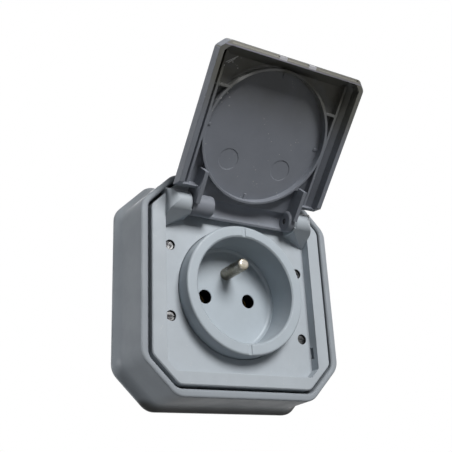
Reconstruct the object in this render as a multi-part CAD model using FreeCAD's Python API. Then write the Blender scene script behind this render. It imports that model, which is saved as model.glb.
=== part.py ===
import FreeCAD, Part
import math
import os

# Outdoor weatherproof socket for a wall box, with its sprung-open lid at the stop.
# Sizes are in millimetres. The wall is the plane Y = 0 and the socket looks along -Y, with +Z up.
# The origin lies on the wall, on the axis of the plug well. A "reach" is a distance ahead of the wall.

# Surround: a moulded octagonal wall that flares at its foot
shell_drop = -1.44              # how far the well sits below the centre of the octagons, as a Z shift
rim_width = 2.8                 # from the plate's gap to the outer front edge
rim_corner = 13.0               # how far each corner of the rim is cut back
rim_drop = 0.2                  # how far the rim stays behind the plate's border
rim_edge_round = 0.7            # rounding of the outer front edge
rim_flat = 1.5                  # width of the flat band round the rim
rim_bevel_drop = 0.6            # fall of the inner bevel from the band to the plate's gap
flare_spread = 1.8              # how far the foot stands out beyond the drafted wall
foot_corner = 13.4
foot_band = 1.2                 # straight edge of the foot, square to the wall
flare_height = 6.2              # reach at which the flare runs out into the drafted wall
wall_draft = 0.7                # how far the wall leans out from the rim to the flare
corner_round = 7.0              # rounding between the flats of the outer wall
wall = 2.4                      # wall of the surround behind its ledge
foot_wall = 3.4
ledge_width = 3.4               # shelf that carries the face plate's gasket
ledge_thick = 2.2

# Face plate: the octagonal inner plate, with a pocket for the lid
border_width = 5.4              # border beside the lid's pocket
plate_corner = 9.8
plate_round = 3.6
plate_gap = 1.2                 # gap all round between the plate and the rim
plate_wall = 1.8
plate_edge_bevel = 0.4
border_height = 4.2             # the border stands this far over the pocket's floor
floor_reach = 16.8              # floor of the pocket round the well
floor_thick = 2.4
pocket_side = 6.8               # from the collar to the pocket's sides
pocket_end = 6.1                # and to its lower end
pocket_cut = 3.5                # its two cut corners
plate_gasket_thick = 1.2
slot_length = 4.3               # small drain slot low in each side wall of the pocket
slot_depth = 1.2
slot_width = 1.9
slot_place = 7.8                # from the pocket's lower end

# Plug well: the insert that takes the plug
collar_wall = 4.4
collar_height = 6.7             # over the pocket's floor
collar_gap = 0.25               # round the collar, where it passes the face plate
collar_edge = 0.8
bore_radius = 20.2
bore_edge = 0.6
well_depth = 15.0
well_floor = 2.3
well_floor_round = 1.2
pin_pitch = 19.0                # distance between the two live holes
pin_hole_radius = 2.75
key_notch_width = 1.3           # two marks across the collar's face
key_notch_depth = 0.3
seat_width = 2.4                # flange of the insert, under the face plate
seat_thick = 2.0
seat_gasket_thick = 1.2
tail_wall = 2.8                 # wall of the insert inside the base
floor_seat_width = 1.2          # rebate in the tail that the well's floor sits in
floor_seat_depth = 1.2
floor_rim = 0.2                 # wall left round the floor's coved edge

# Earth pin
earth_height = 10.0             # above the well's axis
earth_radius = 2.4
earth_length = 14.0
earth_tip = 1.1
earth_tail_radius = 1.6
earth_tail = 5.5

# Contacts behind the two holes
contact_bore = 2.42
contact_wall = 0.6
contact_length = 11.2
contact_slit = 1.0
strap_place = 3.8               # from the sleeve's back end to the front of its strap
contact_gap = 4.0               # between the well's floor and the sleeve
spring_wall = 0.5
spring_width = 3.0
strap_thick = 0.8

# Terminals: three brass blocks, each with one screw
block_width = 8.0
block_height = 8.0
block_length = 8.0
live_block_z = -12.5
earth_block_inset = 6.2         # from the cup's wall to the middle of the earth terminal
wire_radius = 1.7
terminal_screw_radius = 1.75
terminal_head_radius = 2.6
terminal_head = 1.6
driver_radius = 3.0             # access hole over each terminal screw

# Base: the cup that closes the mechanism from behind
cup_play = 0.2                  # between the insert's tail and the cup
cup_wall = 2.0
cup_floor = 2.0
flange_inset = 2.5              # from the support frame's edge to the flange's edge
flange_corner = 8.0
flange_thick = 2.2
boss_radius = 2.6

# Screws that hold the face plate down, at the places seen in the pocket
cover_inset = 3.6               # from the pocket's side
cover_high = 15.4               # the far pair
cover_low = 11.0                # the near pair
cover_head_radius = 1.65
cover_head = 0.9
cover_shank_radius = 1.0
cover_length = 9.0
cover_recess_radius = 1.95
cover_recess = 1.7
driver_slot = 0.5

# Base screws, from behind into the insert, and frame screws through the flange
base_screw_inset = 6.5          # from the outside of the insert's tail
base_screw_z = 10.0
base_screw_radius = 1.4
base_screw_bite = 6.0           # length of the thread inside the insert's boss
base_head_radius = 2.6
base_head = 1.6
base_boss_radius = 3.0
frame_screw_inset = 11.0        # from the flange's edges
frame_screw_radius = 1.5
frame_head_radius = 2.7
frame_head = 1.4

# Support frame: the pressed plate that is screwed to the wall box
frame_inset = 1.3               # from the face plate's edge to the support frame's edge
frame_round = 8.0
frame_thick = 1.5
window_gap = 0.4                # between the cup and the frame's window
box_web = 1.6                   # metal between the window and each slot, which puts the slots 60 apart
box_slot_width = 3.6
box_slot_length = 5.6
box_access = 4.6                # room for a screw head and its driver over each slot

# Gaskets
foot_gasket_width = 1.5
foot_gasket_thick = 1.2

# Hinge: the axis runs along X, above the well
hinge_clear = 3.4               # from the insert's flange up to the hinge axis
hinge_height = 5.3              # hinge axis over the pocket's floor
open_angle = 138.0              # from the closed lid to the stop
lug_radius = 4.45
lug_length = 8.75               # from the pocket's side to the inner end of each lug
lug_outer_round = 4.0
lug_drop = 8.8                  # from the axis down to where the lug's web meets the floor
lug_bevel = 0.8                 # round the inner end of the barrel
lug_gap = 0.3                   # between a lug and the lid's knuckle
lug_top_gap = 0.2               # between the open lid and the plate's top border
hinge_pin_radius = 1.2
hinge_pin_long = 12.0
hinge_pin_short = 8.4
hinge_pin_grip = 5.8            # length of the pin inside its lug
hinge_pin_play = 0.05

# Lid: a shallow tray
lid_side_gap = 0.3              # between the closed lid and the pocket's sides
lid_end_gap = 0.4               # between the closed lid's far edge and the pocket's end
lid_cut = 3.3                   # cut of the far corners
lid_lip_gap = 0.3               # between the closed lip and the pocket's floor
lid_over_collar = 0.4           # between the closed lid's inner face and the collar
lid_panel = 2.5
lid_skirt = 1.9
lid_edge_round = 1.0
lid_corner_round = 2.2          # far corners, seen from the front
lid_bevel_depth = 4.6           # bevel round the outer face, along the lid's depth
lid_bevel = 4.4                 # and across it
lid_side_start = 6.5            # from the hinge axis to the end of the side skirts
lid_end_wall = 1.6
lid_web_gap = 0.4               # between the closed side skirts and the lugs' webs
lip_step_width = 0.9            # step along the far lip, between the corners
lip_step_depth = 0.8
lip_step_end = 3.9              # from the lid's side to the end of the step
knuckle_radius = 4.2
knuckle_long = 9.0              # the left one
knuckle_short = 2.5             # the right one, no more than the cheek and a shoulder
knuckle_round = 0.9
curl_wall = 1.0                 # the curled edge that hides the hinge
ring_rib_gap = 0.4              # between the collar and the ring rib of the closed lid
rib_thick = 0.95
rib_height = 2.6
rail_end = 3.7                  # from the lid's far edge to the straight ribs
bridge_low = 14.6               # webs from the ring rib to the straight ribs, below the well's axis
cheek_far = 14.4                # end of the cheeks beside the hinge
gusset_length = 2.2
gusset_height = 0.25
pad_place = 6.3                 # two small pads that stand in the step
pad_width = 3.2
pad_depth = 0.6
ejector_x = 11.5
ejector_s = 19.3
ejector_radius = 4.0
ejector_depth = 0.12

# Worked out from the sizes above, outwards from the plug well
side_share = 2 - math.sqrt(2)   # change of a corner's cut when an octagon's flats move by one
collar_radius = bore_radius + collar_wall
collar_reach = floor_reach + collar_height
seat_radius = collar_radius + seat_width
tail_radius = bore_radius + tail_wall
floor_seat_radius = bore_radius + floor_seat_width
cup_radius = tail_radius + cup_play + cup_wall
pocket_half = collar_radius + pocket_side
pocket_low = -collar_radius - pocket_end
slot_low = pocket_low + slot_place
strip_reach = floor_reach + border_height
plate_half = pocket_half + border_width
rim_reach = strip_reach - rim_drop
rim_half = plate_half + plate_gap + rim_width
flare_half = rim_half + wall_draft
foot_half = flare_half + flare_spread
shell_z = -shell_drop
frame_half = plate_half - frame_inset
box_pitch = 2 * (cup_radius + window_gap + box_web + box_slot_length / 2)
flange_half = frame_half - flange_inset
frame_screw_place = flange_half - frame_screw_inset
base_screw_x = tail_radius - base_screw_inset
earth_block_z = cup_radius - cup_wall - earth_block_inset
cover_x = pocket_half - cover_inset
hinge_z = seat_radius + hinge_clear
hinge_reach = floor_reach + hinge_height
lug_inner = pocket_half - lug_length
lug_foot_z = hinge_z - lug_drop
lid_half = pocket_half - lid_side_gap
well_floor_reach = collar_reach - well_depth
seat_front = floor_reach - floor_thick - seat_gasket_thick
flange_back = frame_thick
skirt_back = floor_reach - floor_thick
ledge_front = skirt_back - plate_gasket_thick
lid_inner = collar_reach + lid_over_collar
lid_outer = lid_inner + lid_panel
lid_lip = floor_reach + lid_lip_gap
lid_bevel_reach = lid_outer - lid_bevel_depth
curl_radius = lid_outer - hinge_reach
tongue_half = lug_inner - lug_gap
lid_far = pocket_low + lid_end_gap
opening = math.radians(open_angle)
# The border above the hinge starts where the open lid comes to rest on it
stop_offset = curl_radius + lug_top_gap - (strip_reach - hinge_reach) * math.cos(opening)
pocket_high = hinge_z + stop_offset / math.sin(opening)
cover_screws_at = [(-cover_x, cover_high), (-cover_x, -cover_low),
                   (cover_x, cover_low), (cover_x, -cover_high)]
box_screws_at = [(box_pitch / 2, 0), (-box_pitch / 2, 0), (0, box_pitch / 2), (0, -box_pitch / 2)]
frame_screws_at = [(frame_screw_place, frame_screw_place), (-frame_screw_place, -frame_screw_place)]
base_screws_at = [(base_screw_x, base_screw_z), (-base_screw_x, base_screw_z)]
contact_front = well_floor_reach - well_floor - contact_gap
contact_back = contact_front - contact_length
block_back = contact_back + strap_place - strap_thick - block_length
cup_depth = cup_floor - block_back
live_sides = {"left": -1, "right": 1}

V = FreeCAD.Vector


def place(x, reach, z):
    """A point ahead of the wall."""
    return V(x, -reach, z)


def box(x0, x1, back, front, z0, z1):
    """Block between two reaches."""
    return Part.makeBox(x1 - x0, front - back, z1 - z0, V(x0, -front, z0))


def rod(x, z, radius, back, front):
    """Cylinder square to the wall."""
    return Part.makeCylinder(radius, front - back, place(x, back, z), V(0, -1, 0))


def pipe(x, z, outer, inner, back, front):
    """Tube square to the wall."""
    return rod(x, z, outer, back, front).cut(rod(x, z, inner, back, front))


def axle(x0, x1, radius):
    """Cylinder along the hinge axis."""
    return Part.makeCylinder(radius, x1 - x0, place(x0, hinge_reach, hinge_z), V(1, 0, 0))


def outline(points, radii, reach):
    """Closed wire through (x, z) points at one reach, with each corner rounded to its radius."""
    tips = [place(x, reach, z) for x, z in points]
    count = len(tips)
    starts, ends, edges = [], [], []
    for i, tip in enumerate(tips):
        before = (tips[i - 1] - tip).normalize()
        after = (tips[(i + 1) % count] - tip).normalize()
        half = before.getAngle(after) / 2
        starts.append(tip + before * (radii[i] / math.tan(half)))
        ends.append(tip + after * (radii[i] / math.tan(half)))
        if radii[i]:
            middle = tip + (before + after).normalize() * (radii[i] / math.sin(half) - radii[i])
            edges.append(Part.Arc(starts[-1], middle, ends[-1]).toShape())
    for i in range(count):
        edges.append(Part.LineSegment(ends[i], starts[(i + 1) % count]).toShape())
    return Part.Wire(Part.__sortEdges__(edges))


def octagon(half, corner, radius, reach, centre_z=None):
    """Outline of an octagon with rounded corners, centred on the surround unless told otherwise."""
    middle = shell_z if centre_z is None else centre_z
    near = half - corner
    points = [(half, -near), (half, near), (near, half), (-near, half),
              (-half, near), (-half, -near), (-near, -half), (near, -half)]
    return outline([(x, z + middle) for x, z in points], [radius] * 8, reach)


def offset_corner(corner, shift):
    """Corner cut of an octagon whose flats lie shift further out, at an even distance."""
    return corner + shift * side_share


def slab(wire, back, front):
    """Solid between two reaches with the outline of a wire parallel to the wall."""
    flat = Part.Face(wire)
    flat.translate(V(0, -back - flat.BoundBox.YMin, 0))
    return flat.extrude(V(0, back - front, 0))


def panel(points, back, front):
    """Solid between two reaches with straight sides through (x, z) points."""
    ring = [place(x, back, z) for x, z in points]
    return Part.Face(Part.makePolygon(ring + ring[:1])).extrude(V(0, back - front, 0))


def side_profile(points, x0, x1):
    """Solid along X with straight sides through (reach, z) points."""
    ring = [place(x0, reach, z) for reach, z in points]
    return Part.Face(Part.makePolygon(ring + ring[:1])).extrude(V(x1 - x0, 0, 0))


def both_sides(shape):
    """The shape and its mirror image in the plane X = 0."""
    return [shape, shape.mirror(V(0, 0, 0), V(1, 0, 0))]


def slotted_head(x, z, radius, back, front, slot, across=True):
    """Round screw head with a driver slot in its front."""
    head = rod(x, z, radius, back, front)
    depth = (front - back) / 2
    long, short = radius + 1, slot / 2
    dx, dz = (long, short) if across else (short, long)
    return head.cut(box(x - dx, x + dx, front - depth, front + 1, z - dz, z + dz))


def edges_at(shape, reach):
    """Edges that lie in the plane at a reach."""
    return [e for e in shape.Edges if abs(e.BoundBox.YMin + reach) < 0.01 and e.BoundBox.YLength < 0.01]


def surround():
    """Outer moulding: drafted wall with a flared foot, bevelled rim, and a ledge for the face plate."""
    flare = []
    for step in range(5):
        share = step / 4
        reach = flare_height - share * (flare_height - foot_band)
        half = flare_half + (foot_half - flare_half) * share ** 2
        corner = offset_corner(rim_corner, flare_half - rim_half)
        corner += (foot_corner - corner) * share ** 2
        flare.append(octagon(half, corner, corner_round, reach))
    rim = octagon(rim_half, rim_corner, corner_round, rim_reach - rim_edge_round)
    upper = Part.makeLoft([flare[0], rim], True, True)
    lower = Part.makeLoft(flare, True, False)
    foot = slab(octagon(foot_half, foot_corner, corner_round, 0), 0, foot_band)
    crown = slab(octagon(rim_half, rim_corner, corner_round, 0), rim_reach - rim_edge_round, rim_reach)
    crown = crown.makeFillet(rim_edge_round * 0.98, edges_at(crown, rim_reach))
    body = foot.fuse([lower, upper, crown]).removeSplitter()

    mouth_half = plate_half + plate_gap
    mouth_corner = offset_corner(plate_corner, plate_gap)
    mouth_round = plate_round + plate_gap
    mouth = slab(octagon(mouth_half, mouth_corner, mouth_round, 0), ledge_front, rim_reach)
    bevel_out = rim_half - rim_edge_round - rim_flat - mouth_half
    bevel_corner = offset_corner(mouth_corner, bevel_out)
    bevel = Part.makeLoft([
        octagon(mouth_half, mouth_corner, mouth_round, rim_reach - rim_bevel_drop),
        octagon(mouth_half + bevel_out, bevel_corner, mouth_round + bevel_out, rim_reach)], True, True)
    throat_half = mouth_half - ledge_width
    throat = slab(octagon(throat_half, offset_corner(mouth_corner, -ledge_width), plate_round, 0),
                  ledge_front - ledge_thick, ledge_front)
    room_top = rim_half - wall
    room_foot = foot_half - foot_wall
    room_reach = ledge_front - ledge_thick
    room = Part.makeLoft([
        octagon(room_foot, offset_corner(foot_corner, -foot_wall), corner_round - foot_wall, 0),
        octagon(room_top, offset_corner(rim_corner, -wall), corner_round - wall, room_reach)], True, True)
    return body.cut([mouth, bevel, throat, room, foot_groove()])


def foot_groove():
    """Ring in the back edge of the foot that the wall gasket fills."""
    outer_in = (foot_wall - foot_gasket_width) / 2
    inner_in = outer_in + foot_gasket_width
    rings = [slab(octagon(foot_half - inset, offset_corner(foot_corner, -inset), corner_round - inset, 0),
                  0, foot_gasket_thick) for inset in (outer_in, inner_in)]
    return rings[0].cut(rings[1])


def plate_gasket():
    """Flat seal between the face plate's skirt and the surround's ledge."""
    rings = [slab(octagon(plate_half - inset, offset_corner(plate_corner, -inset), plate_round - inset, 0),
                  ledge_front, skirt_back) for inset in (0, plate_wall)]
    return rings[0].cut(rings[1])


def pocket_outline(grow):
    """Corners of the lid's pocket, moved outwards by grow, as (x, z) points."""
    side, low, high = pocket_half + grow, pocket_low - grow, pocket_high + grow
    cut = pocket_cut + grow * side_share
    return [(side, low + cut), (side, high), (-side, high),
            (-side, low + cut), (cut - side, low), (side - cut, low)]


def end_edges(shape, x):
    """Edges that lie in the plane at x."""
    return [e for e in shape.Edges if abs(e.BoundBox.XMin - x) < 0.01 and e.BoundBox.XLength < 0.01]


def web_line(gap):
    """The sloping front of a lug's web, moved off by gap, as its two (reach, z) ends."""
    lean = math.radians(40)
    low = (floor_reach, lug_foot_z)
    high = (hinge_reach + lug_radius * math.sin(lean), hinge_z - lug_radius * math.cos(lean))
    run, rise = high[0] - low[0], high[1] - low[1]
    long = math.hypot(run, rise)
    dr, dz = gap * rise / long, -gap * run / long
    start = (low[0] + dr - run / long, low[1] + dz - rise / long) if gap else low
    return start, (high[0] + dr, high[1] + dz)


def lug():
    """Right hinge lug: a barrel on a web, with its outer end rounded down to the plate."""
    barrel = axle(lug_inner, pocket_half, lug_radius)
    barrel = barrel.makeChamfer(lug_bevel, end_edges(barrel, lug_inner))
    foot, front = web_line(0)
    top = [(floor_reach, pocket_high), (strip_reach, pocket_high), (hinge_reach, hinge_z + lug_radius - 0.2)]
    web = side_profile([(hinge_reach, hinge_z), front, foot] + top, lug_inner, pocket_half)
    nose_z = hinge_z - lug_radius
    slant = [(pocket_half, lug_foot_z), (lug_inner + lug_bevel, nose_z), (lug_inner - 1, nose_z),
             (lug_inner - 1, lug_foot_z - 1), (pocket_half, lug_foot_z - 1)]
    web = web.cut(panel(slant, floor_reach - 1, hinge_reach + lug_radius))
    form = barrel.fuse(web).removeSplitter()
    top = hinge_reach + lug_radius
    bend = pocket_half - lug_outer_round
    middle = lug_outer_round * math.sqrt(0.5)
    low, high = lug_foot_z - 2, pocket_high + 2
    start, end = place(bend, top, low), place(pocket_half, top - lug_outer_round, low)
    arc = Part.Arc(start, place(bend + middle, top - lug_outer_round + middle, low), end).toShape()
    corners = [end, place(pocket_half, floor_reach - 1, low), place(lug_inner, floor_reach - 1, low),
               place(lug_inner, top, low), start]
    wire = Part.Wire([arc] + Part.makePolygon(corners).Edges)
    return form.common(Part.Face(wire).extrude(V(0, 0, high - low)))


def face_plate():
    """Inner plate: border, lid pocket, hinge lugs and the four screw seats."""
    rim = Part.makeLoft([
        octagon(plate_half, plate_corner, plate_round, strip_reach - plate_edge_bevel),
        octagon(plate_half - plate_edge_bevel, offset_corner(plate_corner, -plate_edge_bevel),
                plate_round - plate_edge_bevel, strip_reach)], True, True)
    edge = octagon(plate_half, plate_corner, plate_round, 0)
    block = slab(edge, skirt_back, strip_reach - plate_edge_bevel)
    pan = panel(pocket_outline(plate_wall), floor_reach - floor_thick, strip_reach - plate_wall)
    inner_corner = offset_corner(plate_corner, -plate_wall)
    inner = slab(octagon(plate_half - plate_wall, inner_corner, plate_round - plate_wall, 0),
                 skirt_back, strip_reach - plate_wall)
    pan_corner = offset_corner(plate_corner, -plate_wall / 2)
    pan = pan.common(slab(octagon(plate_half - plate_wall / 2, pan_corner, plate_round, 0),
                          floor_reach - floor_thick, strip_reach))
    body = block.fuse(rim).removeSplitter().cut(inner).fuse(pan)
    body = body.cut(panel(pocket_outline(0), floor_reach, strip_reach))
    body = body.fuse(both_sides(lug())).removeSplitter()
    holes = [rod(0, 0, collar_radius + collar_gap, floor_reach - floor_thick, floor_reach)]
    for x, z in cover_screws_at:
        holes.append(rod(x, z, cover_recess_radius, floor_reach - cover_recess, floor_reach))
        holes.append(rod(x, z, cover_shank_radius + 0.1, floor_reach - floor_thick, floor_reach))
    for pin in both_sides(axle(lug_inner, lug_inner + hinge_pin_grip, hinge_pin_radius)):
        holes.append(pin)
    slot = box(pocket_half, pocket_half + slot_depth, floor_reach, floor_reach + slot_width,
               slot_low, slot_low + slot_length)
    return body.cut(holes + both_sides(slot))


def socket_well():
    """Insert: the round collar, its flange and the bore for the plug, open at the back."""
    back = well_floor_reach - well_floor
    body = rod(0, 0, collar_radius, seat_front - seat_thick, collar_reach)
    body = body.makeFillet(collar_edge, edges_at(body, collar_reach))
    body = body.fuse([rod(0, 0, seat_radius, seat_front - seat_thick, seat_front),
                      rod(0, 0, tail_radius, back, seat_front)]).removeSplitter()
    mouth = Part.makeCone(bore_radius, bore_radius + bore_edge, bore_edge,
                          place(0, collar_reach - bore_edge, 0), V(0, -1, 0))
    half = key_notch_width / 2
    notch = box(-half, half, collar_reach - key_notch_depth, collar_reach + 1,
                -collar_radius, collar_radius)
    return body.cut([rod(0, 0, bore_radius, back, collar_reach), mouth, notch,
                     rod(0, 0, floor_seat_radius, back, back + floor_seat_depth)])


def well_floor_disc():
    """Floor of the well: a coved disc with the pin's hole, the two contact holes and two screw bosses."""
    back = well_floor_reach - well_floor
    top = well_floor_reach + well_floor_round
    disc = rod(0, 0, bore_radius, back, top)
    disc = disc.fuse(rod(0, 0, floor_seat_radius, back, back + floor_seat_depth))
    hollow = rod(0, 0, bore_radius - floor_rim, well_floor_reach, top + 1)
    hollow = hollow.makeFillet(well_floor_round, edges_at(hollow, well_floor_reach))
    cuts = [hollow, rod(0, earth_height, earth_tail_radius, back, well_floor_reach)]
    for side in live_sides.values():
        cuts.append(rod(side * pin_pitch / 2, 0, pin_hole_radius, back, well_floor_reach))
    bosses = [rod(x, z, base_boss_radius, contact_back, back) for x, z in base_screws_at]
    pilots = [rod(x, z, base_screw_radius, contact_back, back) for x, z in base_screws_at]
    return disc.removeSplitter().cut(cuts).fuse(bosses).removeSplitter().cut(pilots)


def seat_gasket():
    """Round seal between the insert's flange and the back of the face plate."""
    return pipe(0, 0, seat_radius, collar_radius + collar_gap, seat_front, floor_reach - floor_thick)


def earth_pin():
    """Round pin with a domed tip, a shoulder on the floor and a riveted tail."""
    back = well_floor_reach - well_floor
    front = well_floor_reach + earth_length
    pin = rod(0, earth_height, earth_radius, well_floor_reach, front)
    pin = pin.makeFillet(earth_tip, edges_at(pin, front))
    tail = rod(0, earth_height, earth_tail_radius, back - earth_tail, well_floor_reach)
    return pin.fuse(tail).removeSplitter()


def contact(side):
    """Slit brass sleeve with the strap that leads down to its terminal."""
    x = side * pin_pitch / 2
    outer = contact_bore + contact_wall
    sleeve = pipe(x, 0, outer, contact_bore, contact_back, contact_front)
    slit = box(x - contact_slit / 2, x + contact_slit / 2, contact_back, contact_front, 0, outer + 1)
    strap_front = block_back + block_length + strap_thick
    strap = box(x - outer * 0.8, x + outer * 0.8, strap_front - strap_thick, strap_front,
                live_block_z - block_height / 2, -contact_bore)
    strap = strap.cut(rod(x, 0, contact_bore, contact_back, contact_front))
    return sleeve.cut(slit).fuse(strap).removeSplitter()


def contact_spring(side):
    """Open steel ring that grips the sleeve."""
    x = side * pin_pitch / 2
    inner = contact_bore + contact_wall
    middle = contact_front - contact_length / 3
    ring = pipe(x, 0, inner + spring_wall, inner, middle - spring_width / 2, middle + spring_width / 2)
    gap = box(x - contact_slit, x + contact_slit, middle - spring_width, middle + spring_width,
              0, inner + 2)
    return ring.cut(gap)


def earth_strap():
    """Brass strip from the earth pin's tail to the earth terminal."""
    front = well_floor_reach - well_floor
    back = block_back + block_length
    half = block_width * 0.35
    top = earth_block_z + block_height / 2
    head = box(-half, half, front - strap_thick, front, earth_height - earth_radius - 1, top)
    leg = box(-half, half, back, front, top - strap_thick, top)
    return head.fuse(leg).removeSplitter().cut(rod(0, earth_height, earth_tail_radius, back, front))


def terminal(x, z):
    """Brass block with a wire hole from below or above and a threaded hole from behind."""
    block = box(x - block_width / 2, x + block_width / 2, block_back, block_back + block_length,
                z - block_height / 2, z + block_height / 2)
    wire_reach = block_back + block_length / 2
    low = place(x, wire_reach, z - block_height / 2)
    wire = Part.makeCylinder(wire_radius, block_height, low, V(0, 0, 1))
    return block.cut([wire, rod(x, z, terminal_screw_radius, block_back, block_back + block_length)])


def terminal_places():
    """Centres of the three terminals as (x, z)."""
    return [(side * pin_pitch / 2, live_block_z) for side in live_sides.values()] + [(0, earth_block_z)]


def terminal_screws():
    """Three screws, driven from behind."""
    screws = []
    for x, z in terminal_places():
        shank = rod(x, z, terminal_screw_radius, block_back, block_back + block_length / 2 - wire_radius)
        head = rod(x, z, terminal_head_radius, block_back - terminal_head, block_back)
        slot = box(x - terminal_head_radius, x + terminal_head_radius, block_back - terminal_head,
                   block_back - terminal_head / 2, z - driver_slot / 2, z + driver_slot / 2)
        screws.append(head.cut(slot).fuse(shank).removeSplitter())
    return Part.makeCompound(screws)


def mechanism_base():
    """Rear cup with the seats for the terminals."""
    front = seat_front - seat_thick
    cup = rod(0, 0, cup_radius, -cup_depth, front)
    cuts = [rod(0, 0, cup_radius - cup_wall, -cup_depth + cup_floor, front)]
    for x, z in terminal_places():
        cuts.append(rod(x, z, driver_radius, -cup_depth, -cup_depth + cup_floor))
    for x, z in base_screws_at:
        cuts.append(rod(x, z, base_screw_radius, -cup_depth, -cup_depth + cup_floor))
    walls = []
    for x, z in terminal_places():
        wide, tall = block_width / 2, block_height / 2
        front = block_back + block_length / 2
        outer = box(x - wide - 1, x + wide + 1, block_back, front, z - tall, z + tall)
        walls.append(outer.cut(box(x - wide, x + wide, block_back, front, z - tall, z + tall)))
    return cup.cut(cuts).fuse(walls).removeSplitter()


def mounting_ring():
    """Flat collar on the cup, with four bosses for the cover screws and room for the box screws."""
    back, front = flange_back, flange_back + flange_thick
    flange = slab(octagon(flange_half, flange_corner, 2, 0, 0), back, front)
    bosses = [rod(x, z, boss_radius, back, floor_reach - floor_thick) for x, z in cover_screws_at]
    cuts = [rod(0, 0, cup_radius, back, floor_reach)]
    for x, z in cover_screws_at:
        cuts.append(rod(x, z, cover_shank_radius, floor_reach - cover_recess - cover_length, floor_reach))
    for x, z in box_screws_at:
        cuts.append(rod(x, z, box_access, back, front))
    for x, z in frame_screws_at:
        cuts.append(rod(x, z, frame_screw_radius, back, front))
    return flange.fuse(bosses).removeSplitter().cut(cuts)


def support_frame():
    """Pressed plate with a round window and four slots on the fixing centres of the wall box."""
    plate = box(-frame_half, frame_half, 0, frame_thick, -frame_half, frame_half)
    upright = [e for e in plate.Edges if e.BoundBox.YLength > frame_thick / 2]
    plate = plate.makeFillet(frame_round, upright)
    cuts = [rod(0, 0, cup_radius + window_gap, 0, frame_thick)]
    for x, z in box_screws_at:
        half = (box_slot_length - box_slot_width) / 2
        dx, dz = (half, 0) if z == 0 else (0, half)
        slot = [rod(x + s * dx, z + s * dz, box_slot_width / 2, 0, frame_thick) for s in (-1, 1)]
        wide = box_slot_width / 2
        bar = box(x - max(dx, wide * (dx == 0)), x + max(dx, wide * (dx == 0)), 0, frame_thick,
                  z - max(dz, wide * (dz == 0)), z + max(dz, wide * (dz == 0)))
        cuts.append(slot[0].fuse([slot[1], bar]))
    for x, z in frame_screws_at:
        cuts.append(rod(x, z, frame_screw_radius, 0, frame_thick))
    return plate.cut(cuts)


def cover_screws():
    """Four small slotted screws in the pocket's floor."""
    screws = []
    seat = floor_reach - cover_recess
    for i, (x, z) in enumerate(cover_screws_at):
        head = slotted_head(x, z, cover_head_radius, seat, seat + cover_head, driver_slot, i % 2 == 1)
        shank = rod(x, z, cover_shank_radius, seat - cover_length, seat)
        screws.append(head.fuse(shank).removeSplitter())
    return Part.makeCompound(screws)


def base_screws():
    """Two screws from behind that pull the base onto the insert."""
    screws = []
    for x, z in base_screws_at:
        head = rod(x, z, base_head_radius, -cup_depth - base_head, -cup_depth)
        slot = box(x - base_head_radius, x + base_head_radius, -cup_depth - base_head,
                   -cup_depth - base_head / 2, z - driver_slot / 2, z + driver_slot / 2)
        shank = rod(x, z, base_screw_radius, -cup_depth, contact_back + base_screw_bite)
        screws.append(head.cut(slot).fuse(shank).removeSplitter())
    return Part.makeCompound(screws)


def frame_screws():
    """Two screws through the base's flange into the support frame."""
    screws = []
    top = flange_back + flange_thick
    for x, z in frame_screws_at:
        head = slotted_head(x, z, frame_head_radius, top, top + frame_head, driver_slot)
        screws.append(head.fuse(rod(x, z, frame_screw_radius, 0, top)).removeSplitter())
    return Part.makeCompound(screws)


def pin_end(length):
    """Inner end of a hinge pin of that length, from the plane X = 0."""
    return lug_inner + hinge_pin_grip - length


def hinge_pins():
    """Two steel pins, fast in the lugs, on which the lid turns: a short right one and a long left one."""
    right = axle(pin_end(hinge_pin_short), pin_end(0), hinge_pin_radius)
    left = axle(-pin_end(0), -pin_end(hinge_pin_long), hinge_pin_radius)
    return Part.makeCompound([right, left])


def knuckle(length):
    """Right knuckle of the lid, with a rounded inner end."""
    barrel = axle(tongue_half - length, tongue_half, knuckle_radius)
    return barrel.makeFillet(knuckle_round, end_edges(barrel, tongue_half - length))


def lid_wire(inset, reach, end_inset=0):
    """Outline of the lid's tray, moved inwards by inset on three sides and by end_inset at the hinge."""
    side, low = lid_half - inset, lid_far + inset
    cut = lid_cut - inset * side_share
    shoulder = hinge_z - lid_side_start - end_inset
    radius = lid_corner_round * cut / lid_cut
    points = [(side, low + cut), (side, shoulder), (-side, shoulder),
              (-side, low + cut), (cut - side, low), (side - cut, low)]
    return outline(points, [radius, 0, 0, radius, radius, radius], reach)


def lid_tray():
    """Shallow tray with a bevel round its outer face, hollowed to an even wall."""
    outer = slab(lid_wire(0, 0), lid_lip, lid_bevel_reach)
    outer = outer.fuse(Part.makeLoft([lid_wire(0, lid_bevel_reach), lid_wire(lid_bevel, lid_outer)],
                                     True, True))
    outer = outer.removeSplitter()
    shoulder = hinge_z - lid_side_start
    soft = [e for e in outer.Edges if e.BoundBox.YLength < 0.01 and e.BoundBox.ZMin < shoulder - 0.01
            and e.BoundBox.YMin < -lid_bevel_reach + 0.01]
    outer = outer.makeFillet(lid_edge_round, soft)
    inner_reach = lid_bevel_reach - lid_skirt * math.tan(math.pi / 8)
    inner_inset = lid_skirt + (lid_inner - inner_reach) * lid_bevel / (lid_outer - lid_bevel_reach)
    hollow = slab(lid_wire(lid_skirt, 0, lid_end_wall), lid_lip, inner_reach)
    taper = Part.makeLoft([lid_wire(lid_skirt, inner_reach, lid_end_wall),
                           lid_wire(inner_inset, lid_inner, lid_end_wall)], True, True)
    return outer.cut([hollow, taper])


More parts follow.
